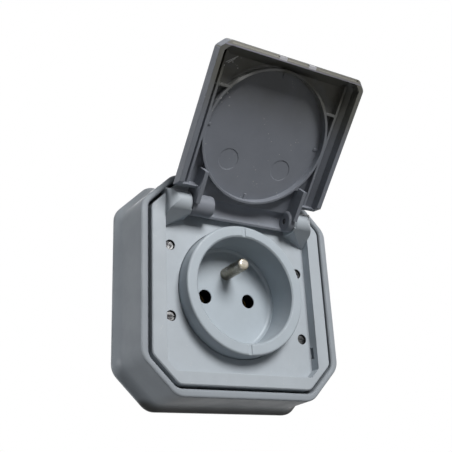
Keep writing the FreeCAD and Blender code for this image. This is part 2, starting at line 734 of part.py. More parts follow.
def lid_ribs():
    """Ring rib, straight ribs, bridges, cheeks and gussets inside the lid."""
    low = lid_inner - rib_height
    ring_inner = collar_radius + ring_rib_gap
    ring_outer = ring_inner + rib_thick
    ribs = [pipe(0, 0, ring_outer, ring_inner, low, lid_inner)]
    rail_x = ring_inner + rib_thick / 2
    rail = box(rail_x, rail_x + rib_thick, low, lid_inner,
               lid_far + rail_end, hinge_z - lid_side_start - lid_end_wall / 2)
    bridge_x = math.sqrt(ring_inner ** 2 - bridge_low ** 2)
    bridge = box(bridge_x, rail_x + rib_thick / 2, low, lid_inner,
                 -bridge_low - rib_thick / 2, -bridge_low + rib_thick / 2)
    cheek_z = hinge_z - cheek_far
    cheek = box(tongue_half - lid_end_wall, tongue_half, lid_lip, lid_inner,
                cheek_z, hinge_z - knuckle_radius / 2)
    link_x = math.sqrt(ring_inner ** 2 - cheek_z ** 2)
    link = box(link_x, tongue_half, low, lid_inner, cheek_z, cheek_z + rib_thick)
    for part in (rail, bridge, cheek, link):
        ribs += both_sides(part)
    half = rib_thick / 2
    reach = ring_inner - gusset_length
    ribs += both_sides(box(reach, ring_inner + half, lid_inner - gusset_height, lid_inner, -half, half))
    deep = gusset_height + key_notch_depth / 2
    for sign in (-1, 1):
        inner, outer = sorted((sign * reach, sign * (ring_inner + half)))
        ribs.append(box(-half, half, lid_inner - deep, lid_inner, inner, outer))
    return ribs


def lid_closed():
    """Lid as it lies on the socket: tray, ribs, knuckles and the curled hinge edge."""
    shoulder = hinge_z - lid_side_start
    tongue = box(-tongue_half, tongue_half, lid_lip, lid_outer, shoulder - lid_end_wall, hinge_z)
    neck = tongue_half - lid_end_wall
    tongue = tongue.cut(box(-neck, neck, lid_lip, lid_inner, shoulder - lid_end_wall, hinge_z))
    throat = box(-neck, neck, lid_lip, lid_inner, shoulder - lid_end_wall, shoulder)
    shell = lid_tray().cut(throat).fuse(tongue).removeSplitter()
    cheek_end = [(lid_lip, hinge_z), (lid_lip, hinge_z - knuckle_radius - 0.8),
                 (hinge_reach - knuckle_radius * 0.7, hinge_z - knuckle_radius * 0.6),
                 (lid_inner, hinge_z - 1), (lid_inner, hinge_z)]
    shell = shell.cut(side_profile(cheek_end, -tongue_half, tongue_half))
    inside = axle(-tongue_half, tongue_half, curl_radius - curl_wall)
    shell = shell.cut(inside)
    curl = axle(-tongue_half, tongue_half, curl_radius).cut(inside)
    curl = curl.common(box(-tongue_half, tongue_half, hinge_reach - 0.3, lid_outer,
                           hinge_z, hinge_z + curl_radius))
    knuckles = [both_sides(knuckle(knuckle_short))[0], both_sides(knuckle(knuckle_long))[1]]
    web_start, web_end = web_line(lid_web_gap)
    swept = side_profile([web_start, web_end, (web_end[0], hinge_z), (web_start[0], hinge_z)],
                         tongue_half, lid_half + 1)
    step_x = lid_half - lip_step_end
    step = box(-step_x, step_x, lid_lip, lid_lip + lip_step_depth, lid_far, lid_far + lip_step_width)
    shell = shell.cut(both_sides(swept) + [step])
    pad = box(pad_place - pad_width / 2, pad_place + pad_width / 2, lid_lip, lid_lip + lip_step_depth + 0.2,
              lid_far + lip_step_width - pad_depth, lid_far + lip_step_width + 0.2)
    shell = shell.fuse(lid_ribs() + [curl] + knuckles + both_sides(pad)).removeSplitter()
    cuts = both_sides(axle(pin_end(hinge_pin_long) - 0.3, lug_inner, hinge_pin_radius + hinge_pin_play))
    cuts += both_sides(rod(ejector_x, hinge_z - ejector_s, ejector_radius,
                           lid_inner - 1, lid_inner + ejector_depth))
    return shell.cut(cuts)


def lid():
    """Lid swung up to its stop."""
    opened = lid_closed()
    opened.rotate(place(0, hinge_reach, hinge_z), V(1, 0, 0), -open_angle)
    return opened


def save(name, shape):
    """Write one node and say what it is."""
    solids = shape.Solids
    if not solids or not shape.isValid():
        raise ValueError(name + " is not a valid solid")
    kept = solids[0] if len(solids) == 1 else Part.makeCompound(solids)
    kept.exportStep(os.path.join("parts", name + ".step"))
    size = shape.BoundBox
    print("%-22s solids %d  volume %8.1f  %5.1f x %5.1f x %5.1f" % (
        name, len(solids), shape.Volume, size.XLength, size.YLength, size.ZLength))


os.makedirs("parts", exist_ok=True)
save("surround", surround())
save("face_plate", face_plate())
save("lid", lid())
save("socket_well", socket_well())
save("well_floor", well_floor_disc())
save("mechanism_base", mechanism_base())
save("mounting_ring", mounting_ring())
save("support_frame", support_frame())
save("earth_pin", earth_pin())
save("earth_strap", earth_strap())
for name, side in live_sides.items():
    save("contact_" + name, contact(side))
    save("contact_spring_" + name, contact_spring(side))
    save("terminal_" + name, terminal(side * pin_pitch / 2, live_block_z))
save("terminal_earth", terminal(0, earth_block_z))
save("terminal_screws", terminal_screws())
save("cover_screws", cover_screws())
save("base_screws", base_screws())
save("frame_screws", frame_screws())
save("hinge_pins", hinge_pins())
save("wall_gasket", foot_groove())
save("plate_gasket", plate_gasket())
save("seat_gasket", seat_gasket())
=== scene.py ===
# %% [markdown]
# # A weatherproof wall socket, dressed in Blender
#
# This is an outdoor socket with a hinged lid that keeps the rain out. Its shapes
# come from its CAD model, and this script gives them their finish, a floor, light
# and a camera.

# %% Load the part
import math

import bpy
from mathutils import Euler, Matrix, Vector

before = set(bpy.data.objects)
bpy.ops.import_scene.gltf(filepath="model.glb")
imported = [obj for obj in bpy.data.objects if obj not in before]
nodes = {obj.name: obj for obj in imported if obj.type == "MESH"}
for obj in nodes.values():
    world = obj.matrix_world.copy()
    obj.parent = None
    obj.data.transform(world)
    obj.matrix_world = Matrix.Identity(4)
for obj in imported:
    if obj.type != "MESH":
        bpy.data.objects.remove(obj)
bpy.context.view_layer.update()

# %% [markdown]
# ## Small helpers for shader nodes
#
# A material is a graph of nodes. Writing the graph by hand takes three lines a
# node: make it, set its values, link it. These helpers do the three at once, so
# that each finish below reads from top to bottom like a recipe.

# %% Helpers for node graphs
MM = 0.001


def add(tree, kind, settings=None, **inputs):
    """A new node in the tree. An input gets a value, or a link if it is given a socket."""
    node = tree.nodes.new(kind)
    for name, value in (settings or {}).items():
        setattr(node, name, value)
    for name, value in inputs.items():
        plug(tree, node, name.replace("_", " "), value)
    return node


def plug(tree, node, name, value):
    """Sets one input of a node by its name, or links a socket to it."""
    socket = node.inputs[int(name)] if name.isdigit() else node.inputs[name]
    if isinstance(value, bpy.types.NodeSocket):
        tree.links.new(value, socket)
    else:
        socket.default_value = value


def sums(tree, operation, first, second=0.0, third=0.0, clamp=False):
    """One sum in the shader: ADD, MAXIMUM, LESS_THAN and so on. Returns its output."""
    node = add(tree, "ShaderNodeMath", {"operation": operation, "use_clamp": clamp})
    for index, value in enumerate((first, second, third)):
        plug(tree, node, str(index), value)
    return node.outputs[0]


def times(tree, first, *others):
    """The product of all the values, as one socket. Masks are joined this way."""
    for other in others:
        first = sums(tree, "MULTIPLY", first, other)
    return first


def ramp(tree, value, low, high, to_low=0.0, to_high=1.0):
    """A value carried smoothly from the range low..high to the range to_low..to_high."""
    node = add(tree, "ShaderNodeMapRange", {"interpolation_type": "SMOOTHSTEP"})
    for name, number in (("Value", value), ("From Min", low), ("From Max", high)):
        plug(tree, node, name, number)
    plug(tree, node, "To Min", to_low)
    plug(tree, node, "To Max", to_high)
    return node.outputs["Result"]


def blend(tree, factor, first, second):
    """Two colours mixed by a factor. Returns the colour socket."""
    node = add(tree, "ShaderNodeMix", {"data_type": "RGBA"})
    plug(tree, node, "0", factor)
    for index, value in ((6, first), (7, second)):
        plug(tree, node, str(index), value)
    return node.outputs[2]


def grey(red, green, blue):
    """A colour from the 0..255 numbers of a picture, in the linear values shaders use."""
    linear = [((c / 255 + 0.055) / 1.055) ** 2.4 for c in (red, green, blue)]
    return (*linear, 1.0)


print("Node helpers ready")

# %% [markdown]
# ## Shared effects as node groups
#
# Every moulded part of the socket shows the same three things: the fine matt
# grain that the mould leaves, soft clouds where the surface is a little more or
# less matt, and edges that catch the light because they are never quite sharp.
# An effect that many materials share belongs in a node group with named inputs.
# It is built once and placed in each material with its own values. The patterns
# read the object's own coordinates in metres, so they stay on the part as it moves.

# %% Node group: moulded grain
def new_group(name, inputs, outputs):
    """An empty shader node group with its sockets. Sockets are (name, type, default)."""
    tree = bpy.data.node_groups.new(name, "ShaderNodeTree")
    for direction, sockets in (("INPUT", inputs), ("OUTPUT", outputs)):
        for title, kind, default in sockets:
            socket = tree.interface.new_socket(title, in_out=direction, socket_type=kind)
            if direction == "INPUT" and default is not None:
                socket.default_value = default
    return tree, tree.nodes.new("NodeGroupInput"), tree.nodes.new("NodeGroupOutput")


FLOAT, VECTOR = "NodeSocketFloat", "NodeSocketVector"

grain_group, given, result = new_group(
    "moulded grain",
    [("Grains per metre", FLOAT, 4000.0), ("Clouds per metre", FLOAT, 90.0)],
    [("Height", FLOAT, None), ("Clouds", FLOAT, None)],
)
place = add(grain_group, "ShaderNodeTexCoord").outputs["Object"]
fine = add(grain_group, "ShaderNodeTexNoise", Vector=place, Detail=2.0, Roughness=0.55)
plug(grain_group, fine, "Scale", given.outputs["Grains per metre"])
soft = add(grain_group, "ShaderNodeTexNoise", Vector=place, Detail=4.0, Roughness=0.6)
plug(grain_group, soft, "Scale", given.outputs["Clouds per metre"])
plug(grain_group, result, "Height", fine.outputs["Fac"])
plug(grain_group, result, "Clouds", ramp(grain_group, soft.outputs["Fac"], 0.3, 0.7))
print("Group:", grain_group.name)

# %% [markdown]
# A mould leaves every edge a little round, and hands and rain rub it paler. Edges
# could be rounded in the mesh, but the CAD shapes stay untouched, so the Bevel node
# gives the normal that a rounded edge would have. Where it turns away from the true
# normal, their dot product falls below one, and there is an edge. That gives both
# the soft highlight and a mask that paints the edges paler, partly as rubbed plastic
# and partly as painted highlight.

# %% Node group: edge wear and painted highlight
edge_group, given, result = new_group(
    "edge wear and highlight",
    [("Radius", FLOAT, 0.0003), ("Clouds", FLOAT, 0.5)],
    [("Normal", VECTOR, None), ("Wear", FLOAT, None)],
)
bevel = add(edge_group, "ShaderNodeBevel", {"samples": 4})
plug(edge_group, bevel, "Radius", given.outputs["Radius"])
true_normal = add(edge_group, "ShaderNodeNewGeometry").outputs["Normal"]
turn = add(edge_group, "ShaderNodeVectorMath", {"operation": "DOT_PRODUCT"})
plug(edge_group, turn, "0", bevel.outputs["Normal"])
plug(edge_group, turn, "1", true_normal)
turned = sums(edge_group, "SUBTRACT", 1.0, turn.outputs["Value"], clamp=True)
edge_begins, full_edge, least_edge = 0.01, 0.25, 0.5
# Edge mask: it paints the edges paler, partly as wear and partly as painted highlight.
worn = ramp(edge_group, turned, edge_begins, full_edge)
patchy = ramp(edge_group, given.outputs["Clouds"], 0.0, 1.0, least_edge, 1.0)
plug(edge_group, result, "Normal", bevel.outputs["Normal"])
plug(edge_group, result, "Wear", times(edge_group, worn, patchy))
print("Group:", edge_group.name)

# %% [markdown]
# Outdoors, dust settles as a scatter of tiny pale specks. They could be small
# meshes, but thousands of them would be slow and would have to ride with the lid.
# Voronoi cells give the same scatter inside the material: only the middle of a
# cell shows, and a second noise lets most cells stay empty.

# %% Node group: dust specks
dust_group, given, result = new_group(
    "dust specks",
    [("Specks per metre", FLOAT, 900.0), ("Amount", FLOAT, 0.3)],
    [("Specks", FLOAT, None)],
)
place = add(dust_group, "ShaderNodeTexCoord").outputs["Object"]
cells = add(dust_group, "ShaderNodeTexVoronoi", Vector=place, Randomness=1.0)
plug(dust_group, cells, "Scale", given.outputs["Specks per metre"])
thin = add(dust_group, "ShaderNodeTexNoise", Vector=place, Detail=3.0, Scale=260.0)
speck_edge, speck_core, no_dust = 0.24, 0.08, 0.78
dots = ramp(dust_group, cells.outputs["Distance"], speck_edge, speck_core)
limit = sums(dust_group, "SUBTRACT", no_dust, given.outputs["Amount"])
kept = sums(dust_group, "GREATER_THAN", thin.outputs["Fac"], limit)
plug(dust_group, result, "Specks", times(dust_group, dots, kept))
print("Group:", dust_group.name)

# %% [markdown]
# ## A start for every material
#
# Whatever a part is made of, its material starts in the same way: an empty graph
# with one Principled shader, linked to the output. Blender's own start has a
# default graph that would have to be searched for its nodes. A group is placed in
# the graph as a single node, with the values of that material.

# %% Groups and materials
def place_group(tree, group, **values):
    """A node group placed in a material, with its own values."""
    node = add(tree, "ShaderNodeGroup", {"node_tree": group})
    for name, value in values.items():
        plug(tree, node, name.replace("_", " "), value)
    return node


def new_material(name):
    """A material with an empty graph, its shader and its output linked up."""
    material = bpy.data.materials.new(name)
    material.use_nodes = True
    tree = material.node_tree
    tree.nodes.clear()
    shader = tree.nodes.new("ShaderNodeBsdfPrincipled")
    output = tree.nodes.new("ShaderNodeOutputMaterial")
    tree.links.new(shader.outputs["BSDF"], output.inputs["Surface"])
    return material, tree, shader


print("Ready to make materials")

# %% [markdown]
# ## The moulded plastics
#
# Housing, face plate, lid and insert are all moulded in cool grey plastic, with
# small differences: the insert is smoother, the lid and housing a touch darker.
# A material for each would repeat the same graph five times, so one recipe serves
# them all. Grain drives a Bump node, clouds shift the colour and the roughness a
# little, edges are painted paler, partly as wear and partly as painted highlight,
# and specks of dust sit on top. What a single part has more than the others comes
# in as marks: a function that gets the colour so far and gives it back with the
# marks on it.

# %% Recipe for moulded plastic
DARKER, PALER = 0.93, 1.28
DUST_COVER = 0.55
ROUGHER, SMOOTHER = 0.06, -0.04
GRAIN_HEIGHT = 0.06 * MM
PLASTIC_IOR = 1.47


def moulded(
    name, colour, matt=0.42, grains=4200.0, depth=0.12, dust=0.1,
    edge_size=0.35, sheen=0.22, marks=None
):
    """Moulded plastic: its colour, how matt it is, its grain, dust, edges, sheen and marks."""
    material, tree, shader = new_material(name)
    grain = place_group(tree, grain_group, Grains_per_metre=grains)
    clouds = grain.outputs["Clouds"]
    edge = place_group(tree, edge_group, Radius=edge_size * MM, Clouds=clouds)
    specks = place_group(tree, dust_group, Amount=dust).outputs["Specks"]
    darker = tuple(c * DARKER for c in colour[:3]) + (1.0,)
    paler = tuple(min(1.0, c * PALER) for c in colour[:3]) + (1.0,)
    body = blend(tree, clouds, darker, colour)
    # Paler edges: partly rubbed plastic, partly painted highlight.
    rubbed = blend(tree, edge.outputs["Wear"], body, paler)
    dusty = blend(tree, times(tree, specks, DUST_COVER), rubbed, grey(205, 205, 200))
    plug(tree, shader, "Base Color", marks(tree, dusty) if marks else dusty)
    roughness = ramp(tree, clouds, 0.0, 1.0, matt + ROUGHER, matt + SMOOTHER)
    plug(tree, shader, "Roughness", roughness)
    bump = add(tree, "ShaderNodeBump", Strength=depth, Distance=GRAIN_HEIGHT)
    plug(tree, bump, "Height", grain.outputs["Height"])
    plug(tree, bump, "Normal", edge.outputs["Normal"])
    plug(tree, shader, "Normal", bump.outputs["Normal"])
    plug(tree, shader, "IOR", PLASTIC_IOR)
    plug(tree, shader, "Specular IOR Level", sheen)
    return material


print("Recipe for plastic ready")

# %% [markdown]
# ## Masks that know where they are
#
# Painted shade, painted highlights and scratches sit in set places: at the far end
# of the lid, in a screw's recess, low on the foot. A picture painted over the part
# could show them, but a mask made of sums on the object's coordinates needs no
# picture and stays sharp at any size. A slope mask rises from zero to one over a
# range. A box mask is one inside a rectangle, and a round mask near axes that run
# from front to back. They all take millimetres, while the coordinates come in
# metres. Multiplying joins them.

# %% Slope, box and round masks
def slope(tree, value, start, full, to_low=0.0, to_high=1.0):
    """A ramp along a coordinate, from a start to a full place in millimetres."""
    return ramp(tree, value, start * MM, full * MM, to_low, to_high)


def box_mask(tree, x, y, x_range, y_range, soft):
    """One inside a rectangle of x and y, zero outside it, with a soft edge."""
    sides = []
    for value, (low, high) in ((x, x_range), (y, y_range)):
        sides.append(slope(tree, value, low - soft, low + soft))
        sides.append(slope(tree, value, high - soft, high + soft, 1.0, 0.0))
    return times(tree, *sides)


def own_axes(tree):
    """The object's own x, y and z."""
    place = add(tree, "ShaderNodeTexCoord").outputs["Object"]
    return add(tree, "ShaderNodeSeparateXYZ", Vector=place).outputs


def round_mask(tree, centres, radius, start, full):
    """One within a radius of each axis, over a slope in y."""
    x, y, z = own_axes(tree)
    near = 0.0
    for centre_x, centre_z in centres:
        across = sums(tree, "SUBTRACT", x, centre_x * MM)
        up = sums(tree, "SUBTRACT", z, centre_z * MM)
        squares = sums(tree, "MULTIPLY_ADD", across, across, times(tree, up, up))
        within = sums(tree, "LESS_THAN", squares, (radius * MM) ** 2)
        near = sums(tree, "MAXIMUM", near, within)
    return times(tree, slope(tree, y, start, full), near)


print("Masks ready")

# %% [markdown]
# ## Painted shade in the holes, the screw recesses and low on the foot
#
# The two live holes look quite black, because nothing inside them catches the
# light, so their inside is painted near black as shade. The recess round each cover
# screw is painted dark as the shade in it, and so is the housing low down, where the
# foot meets the wall. Each could be a dark material of its own, but a material slot
# ends at an edge of the mesh, and painted shade need not. So each is one mask and one
# dark colour, over the plastic.

# %% Painted shade on the insert, the face plate and the housing
LIVE_HOLES = ((-9.5, 0.0), (9.5, 0.0))
COVER_SCREWS = ((-27.8, 15.4), (-27.8, -11.0), (27.8, 11.0), (27.8, -15.4))
# Painted shade low on the foot: its height and depth in mm, and how dark it is.
FOOT_SHADE_HEIGHT, FOOT_SHADE_DEPTH, FOOT_SHADE = (-37.0, -39.5), (-6.0, -1.5), 0.9


def hole_marks(tree, colour):
    """Painted shade: near black inside the two live holes."""
    deep = round_mask(tree, LIVE_HOLES, radius=2.9, start=-8.4, full=-7.9)
    # Painted shade: the inside of each live hole is painted near black.
    return blend(tree, deep, colour, grey(14, 14, 14))


def recess_marks(tree, colour):
    """Painted shade in the recess round each cover screw."""
    deep = round_mask(tree, COVER_SCREWS, radius=2.05, start=-16.75, full=-16.5)
    # Painted shade: a dark ring in each screw recess.
    return blend(tree, deep, colour, grey(52, 52, 54))


def foot_marks(tree, colour):
    """Painted shade low on the housing, where its foot meets the wall."""
    _, y, z = own_axes(tree)
    # Painted shade: darker low on the housing, towards the wall.
    low = times(tree, slope(tree, z, *FOOT_SHADE_HEIGHT), slope(tree, y, *FOOT_SHADE_DEPTH), FOOT_SHADE)
    return blend(tree, low, colour, grey(66, 66, 64))


print("Marks for", len(LIVE_HOLES), "holes,", len(COVER_SCREWS), "recesses and the foot")

# %% [markdown]
# ## Where the lid's marks are
#
# The lid stands open at an angle. Its marks could be placed in space as it stands,
# but they are easier to place on the closed lid, where x runs across it, z along it
# and y through it, with the far end at the lowest z. A Vector Rotate node turns the
# coordinates back about the hinge. One mask keeps the marks inside the tray, clear
# of the bevel outside: it measures how far a point lies in from the lid's outline,
# and compares that with how far in the bevel is at that depth.

# %% The closed lid's coordinates
LID_TILT = math.radians(138.0)
HINGE = (0.0, -22.1 * MM, 30.4 * MM)
LID_HALF = 31.1 * MM
LID_REACH = 30.3 * MM
CORNER_REACH = 27.0 * MM
BEVEL_START, BEVEL_SLOPE = -20.75 * MM, 0.957
PANEL_FRONT = -24.3 * MM
LEAST_INSET = 0.1 * MM


def closed_lid(tree):
    """Coordinates x, y and z of a point of the lid when it is shut."""
    place = add(tree, "ShaderNodeTexCoord").outputs["Object"]
    turn = add(
        tree, "ShaderNodeVectorRotate", {"rotation_type": "X_AXIS"}, Vector=place, Angle=LID_TILT
    )
    plug(tree, turn, "Center", HINGE)
    return add(tree, "ShaderNodeSeparateXYZ", Vector=turn.outputs["Vector"]).outputs


def inner_side(tree, x, y, z):
    """One on the inside of the lid's tray, zero on its outside, bevel and all."""
    side = sums(tree, "SUBTRACT", LID_HALF, sums(tree, "ABSOLUTE", x))
    end = sums(tree, "ADD", z, LID_REACH)
    corner = sums(tree, "ADD", sums(tree, "ADD", side, z), CORNER_REACH)
    inset = sums(tree, "MINIMUM", end, times(tree, corner, math.sqrt(0.5)))
    inset = sums(tree, "MINIMUM", side, inset)
    bevel = times(tree, sums(tree, "SUBTRACT", BEVEL_START, y), BEVEL_SLOPE)
    within = sums(tree, "GREATER_THAN", inset, sums(tree, "MAXIMUM", bevel, LEAST_INSET))
    return times(tree, within, sums(tree, "GREATER_THAN", y, PANEL_FRONT))


print("Lid's coordinates ready")

# %% [markdown]
# ## Painted shade inside the lid
#
# The lid's end wall keeps the light off the far end of its inside, so that end is
# painted darker as shade, and more olive outside the ring rib, which sealed round a
# plug. An even tint would look flat. So the painted shade grows along the lid, is
# thinner within the ring, and is broken up by patches of noise.

# %% Painted shade of the lid's far end
# Where the painted shade at the far end starts and where it is full, along the closed lid in mm.
END_SHADE_ALONG = (2.0, -21.0)
RING_EDGE = (24.0, 25.2)
WITHIN_RING = 0.7
LEAST_PATCH, PATCH_RANGE, PATCHES_PER_METRE = 0.7, (0.25, 0.6), 120.0


def dirty_lid(tree, colour, inside, z, radius):
    """The lid's colour with painted shade at its far end, grey within the ring rib and olive past
    it.
    """
    past_ring = slope(tree, radius, *RING_EDGE)
    place = add(tree, "ShaderNodeTexCoord").outputs["Object"]
    noise = add(tree, "ShaderNodeTexNoise", Vector=place, Scale=PATCHES_PER_METRE, Detail=4.0)
    patches = ramp(tree, noise.outputs["Fac"], *PATCH_RANGE, LEAST_PATCH, 1.0)
    share = sums(tree, "MULTIPLY_ADD", past_ring, 1.0 - WITHIN_RING, WITHIN_RING)
    # Painted shade: darker towards the far end, thinner within the ring, in patches.
    end_shade = times(tree, inside, slope(tree, z, *END_SHADE_ALONG), share, patches)
    olive = blend(tree, past_ring, grey(110, 110, 109), grey(106, 105, 98))
    return blend(tree, end_shade, colour, olive)


print("End shade ready, from z", END_SHADE_ALONG[0], "to", END_SHADE_ALONG[1], "mm")

# %% [markdown]
# ## Painted highlights on the lip, the pads and the ring rib
#
# The far lip catches the light, so it is painted a paler grey as a highlight, warm on
# its front and cooler on the wall inside it. Two small pads on the lip get paler
# painted highlights still, and a painted highlight lies on the ring rib at one side.
# Four materials could show this, but one colour laid over another by its mask keeps
# the soft borders.

# %% Painted highlights of the lid
LIP_START, LIP_RISE, LIP_FRONT = (-28.3, -28.5), (-23.0, -18.5), (-28.75, -28.95)
LIP_FADE = (-20.0, 34.0, 0.95, 0.5)
PADS, PAD_HALF, PAD_SOFT, PAD_HIGHLIGHT = (-6.3, 6.3), 1.6, 0.1, 0.85
PAD_ALONG, PAD_TOP = (-30.1, -28.9), (-19.2, -19.0)
RING_HIGHLIGHT_INNER, RING_HIGHLIGHT_OUTER, RING_HIGHLIGHT_COVER = (24.6, 25.0), (27.2, 26.0), 0.8
RING_HIGHLIGHT_X, RING_HIGHLIGHT_Z, RING_HIGHLIGHT_SOFT = (-19.0, -3.0), (-27.0, -17.0), 1.5


def bleached_lid(tree, colour, inside, x, y, z, radius):
    """The lid's colour with painted highlights on the lip, the ring rib and the two pads."""
    # Painted highlight on the far lip: paler, warmer on its front and cooler on the wall inside
    # it.
    lip = times(tree, slope(tree, z, *LIP_START), slope(tree, y, *LIP_RISE), inside)
    lip = times(tree, lip, slope(tree, x, *LIP_FADE))
    front = slope(tree, z, *LIP_FRONT)
    lip_highlight_colour = blend(tree, front, grey(172, 170, 184), grey(166, 164, 156))
    colour = blend(tree, lip, colour, lip_highlight_colour)

    # Painted highlight on the ring rib at one side.
    ring = times(tree, slope(tree, radius, *RING_HIGHLIGHT_INNER), slope(tree, radius, *RING_HIGHLIGHT_OUTER))
    part = box_mask(tree, x, z, RING_HIGHLIGHT_X, RING_HIGHLIGHT_Z, RING_HIGHLIGHT_SOFT)
    ring_highlight = times(tree, ring, part, inside, RING_HIGHLIGHT_COVER)
    colour = blend(tree, ring_highlight, colour, grey(178, 178, 176))

    # Painted highlights on the two pads.
    for centre in PADS:
        sides = (centre - PAD_HALF, centre + PAD_HALF)
        pad_highlight = box_mask(tree, x, z, sides, PAD_ALONG, PAD_SOFT)
        pad_highlight = times(tree, pad_highlight, slope(tree, y, *PAD_TOP), PAD_HIGHLIGHT)
        colour = blend(tree, pad_highlight, colour, grey(222, 222, 228))
    return colour


print("Lip, smear and", len(PADS), "pads ready")

# %% [markdown]
# ## Scratches and specks
#
# Two bright scratches cross the far corner, with a few pale specks near them. A
# scratch could be cut into the mesh, but it has no depth to see, and the CAD shapes
# stay as they are. So it is a box mask again, in coordinates that run along the
# scratch and across it. The specks are the dust group, kept to the corner.

# %% Scratches and specks of the lid
SCRATCHES = (((-25.6, -21.2), (-20.2, -25.4)), ((-23.4, -22.2), (-21.0, -24.4)))
SCRATCH_SIDES, SCRATCH_SOFT, SCRATCH_COVER = (-0.16, 0.16), 0.08, 0.95
SPECKS_X, SPECKS_Z, SPECKS_SOFT = (-29.0, -18.0), (-24.0, -8.0), 3.0


def scratched_lid(tree, colour, inside, x, z):
    """The lid's colour with its scratches and the specks in the corner."""
    for start, end in SCRATCHES:
        along = Vector(end) - Vector(start)
        ends = (0.0, along.length)
        along.normalize()
        right = sums(tree, "SUBTRACT", x, start[0] * MM)
        down = sums(tree, "SUBTRACT", z, start[1] * MM)
        length = sums(tree, "MULTIPLY_ADD", right, along.x, times(tree, down, along.y))
        across = sums(tree, "MULTIPLY_ADD", right, -along.y, times(tree, down, along.x))
        line = box_mask(tree, length, across, ends, SCRATCH_SIDES, SCRATCH_SOFT)
        line = times(tree, line, inside, SCRATCH_COVER)
        colour = blend(tree, line, colour, grey(235, 235, 232))
    corner = box_mask(tree, x, z, SPECKS_X, SPECKS_Z, SPECKS_SOFT)
    specks = place_group(tree, dust_group, Specks_per_metre=520.0, Amount=0.3).outputs["Specks"]
    return blend(tree, times(tree, specks, corner, inside), colour, grey(225, 225, 222))


print(len(SCRATCHES), "scratches ready")

# %% [markdown]
# ## The lid's layers
# A mark that is laid on later hides the ones below. The painted shade of the far
# end lies on the plastic, the painted highlights of the lip, the pads and the ring
# rib show over it, and the scratches go through them all. The distance from the
# axis of the well, which the painted shade and the ring rib's highlight both use,
# is worked out once.

# %% All the marks of the lid
def lid_marks(tree, colour):
    """Marks on the inside of the lid: painted shade first, then painted highlights and scratches.
    """
    x, y, z = closed_lid(tree)
    inside = inner_side(tree, x, y, z)
    radius = add(tree, "ShaderNodeVectorMath", {"operation": "LENGTH"})
    plug(tree, radius, "0", add(tree, "ShaderNodeCombineXYZ", X=x, Z=z).outputs["Vector"])
    radius = radius.outputs["Value"]
    colour = dirty_lid(tree, colour, inside, z, radius)
    colour = bleached_lid(tree, colour, inside, x, y, z, radius)
    return scratched_lid(tree, colour, inside, x, z)


print("Marks of the lid ready")

# %% [markdown]
# ## The five plastics
#
# Now the recipe is used. One grey for all would look like one moulding, but the
# real parts come from different moulds and have aged apart. So each has its own
# colour, picked so that it renders as the real one looks in plain light. The insert
# has the finest grain, because its mould is polished where a plug slides. The cup
# behind the wall is a dark technical plastic.

# %% Plastics
finishes = {
    "shell_plastic": moulded(
        "grey housing plastic", grey(151, 157, 163), edge_size=1.0, marks=foot_marks
    ),
    "plate_plastic": moulded(
        "grey face plate plastic", grey(177, 184, 190), dust=0.16, marks=recess_marks
    ),
    "lid_plastic": moulded("grey lid plastic", grey(131, 135, 143), dust=0.16, marks=lid_marks),
    "insert_plastic": moulded(
        "smooth grey insert plastic", grey(175, 184, 191), matt=0.34, grains=6000.0, depth=0.05,
        edge_size=0.5, sheen=0.3, marks=hole_marks
    ),
    "base_plastic": moulded("dark base plastic", grey(62, 64, 67), dust=0.05),
}
print(len(finishes), "plastics")

# %% [markdown]
# ## Sealing rubber
#
# The three seals are soft black rubber. Pure black and fully matt would look like
# a hole, so the rubber is a very dark grey whose gloss changes a little in clouds,
# with the fine skin of its mould as a bump.

# %% Rubber
RUBBER_ROUGHNESS = (0.7, 0.82)


def rubber(name):
    """Soft black rubber with a fine skin."""
    material, tree, shader = new_material(name)
    grain = place_group(tree, grain_group, Grains_per_metre=2600.0)
    clouds = grain.outputs["Clouds"]
    plug(tree, shader, "Base Color", blend(tree, clouds, grey(30, 30, 31), grey(44, 44, 45)))
    plug(tree, shader, "Roughness", ramp(tree, clouds, 0.0, 1.0, *RUBBER_ROUGHNESS))
    bump = add(tree, "ShaderNodeBump", Strength=0.25, Distance=0.08 * MM)
    plug(tree, bump, "Height", grain.outputs["Height"])
    plug(tree, shader, "Normal", bump.outputs["Normal"])
    return material


finishes["seal_rubber"] = rubber("black sealing rubber")
print("Rubber ready")

# %% [markdown]
# ## Metal
#
# Under a lens, brass and plated steel show crystals as faint facets, each with its
# own gloss. A single colour and gloss would look like paint, so one mask of facets,
# clouds and worn edges moves both together, from dull and rough to bright and
# smooth. A range of depth can be rubbed bright on top of that.

# %% Recipe for metal
CRYSTALS_PER_METRE = 900.0


